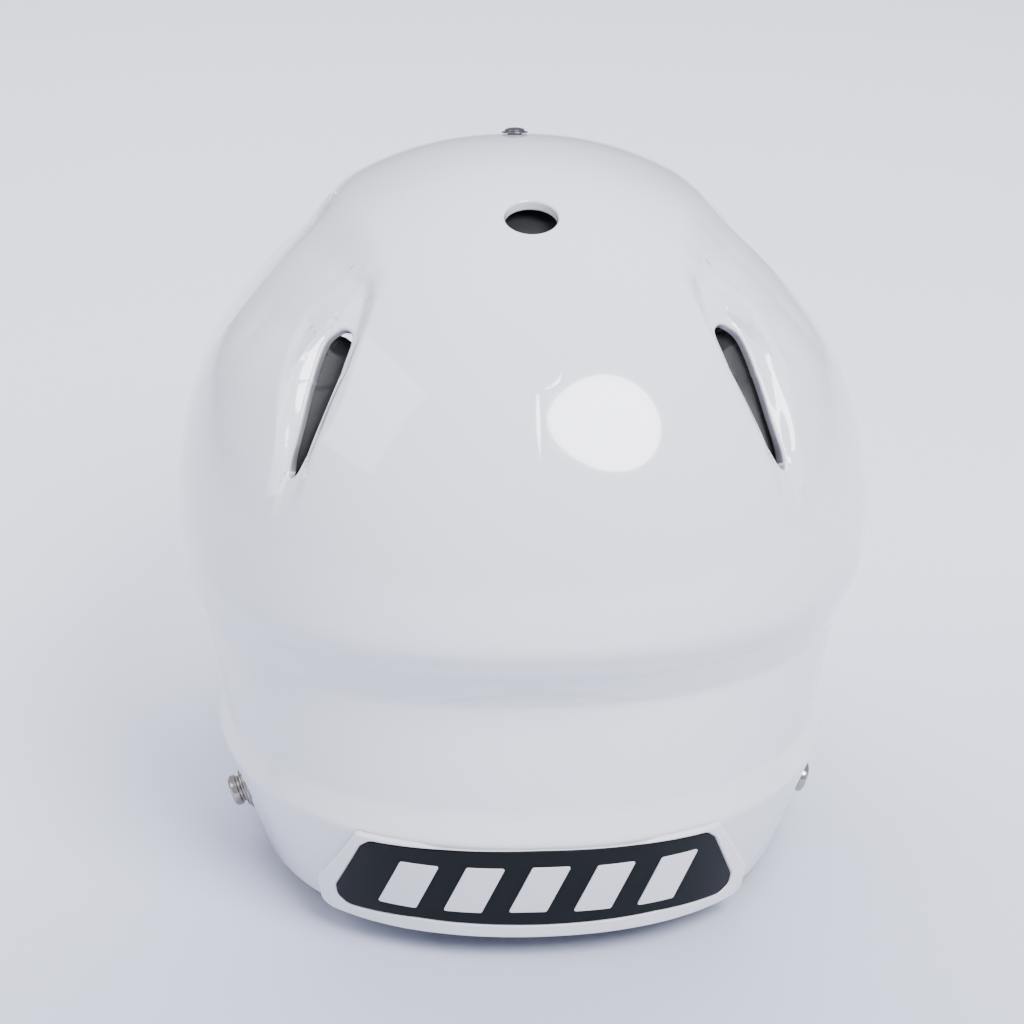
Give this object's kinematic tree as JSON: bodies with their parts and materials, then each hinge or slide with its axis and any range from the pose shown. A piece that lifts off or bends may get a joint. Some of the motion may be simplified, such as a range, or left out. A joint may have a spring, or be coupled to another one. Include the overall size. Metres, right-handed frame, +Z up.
{
  "type": "american football helmet",
  "caption": "Gloss white football helmet with padded liner, hinged wire facemask, quarter-turn side clips, snap studs, rear bumper and crown vents.",
  "frame": {"origin": "centre of the bounding box's base, on the surface the helmet stands on", "axes": "+Z up, -Y the way the wearer faces, +X the wearer's left-hand side"},
  "size_m": [0.229, 0.308, 0.2385],
  "materials": {
    "shell_white": "gloss",
    "bumper_white": "semi-gloss",
    "panel_dark": "satin",
    "emblem_white": "satin",
    "mask_coating": "gloss powder coat",
    "clip_plastic": "satin",
    "pad_comfort": "matte",
    "snap_black": "satin",
    "lock_steel": "brushed",
    "stud_nickel": "polished nickel",
    "screw_steel": "brushed"
  },
  "bodies": {
    "helmet": {"shell": "shell_white", "rear_bumper": "bumper_white", "bumper_panel": "panel_dark", "bumper_emblem": "emblem_white", "bumper_screws": "screw_steel", "brow_bumper": "bumper_white", "brow_screw": "screw_steel", "crown_screw": "screw_steel", "brow_clips": "clip_plastic", "brow_clip_screws": "screw_steel", "brow_clip_nuts": "screw_steel", "side_clip_l": "clip_plastic", "side_clip_r": "clip_plastic", "snap_studs": "stud_nickel", "stud_washers": "stud_nickel", "stud_nuts": "stud_nickel", "crown_pad": "pad_comfort", "front_pad": "pad_comfort", "nape_pad": "pad_comfort", "side_pad_l": "pad_comfort", "side_pad_r": "pad_comfort", "rear_pad_l": "pad_comfort", "rear_pad_r": "pad_comfort", "jaw_pad_l": "pad_comfort", "jaw_pad_r": "pad_comfort", "jaw_snaps": "snap_black"},
    "mask": {"facemask": "mask_coating"},
    "lock_l": {"turn_lock_l": "lock_steel"},
    "lock_r": {"turn_lock_r": "lock_steel"}
  },
  "joints": [
    {"name": "mask_swing", "type": "hinge", "parent": "helmet", "child": "mask", "pos_m": [0, -0.12, 0.166], "axis": [-1, 0, 0], "range_deg": [0, 95]},
    {"name": "turn_lock_l", "type": "hinge", "parent": "helmet", "child": "lock_l", "pos_m": [0.09797, -0.026, 0.066], "axis": [0.9879, 0, -0.1552], "range_deg": [0, 90]},
    {"name": "turn_lock_r", "type": "hinge", "parent": "helmet", "child": "lock_r", "pos_m": [-0.09797, -0.026, 0.066], "axis": [-0.9879, 0, -0.1552], "range_deg": [-90, 0]}
  ]
}
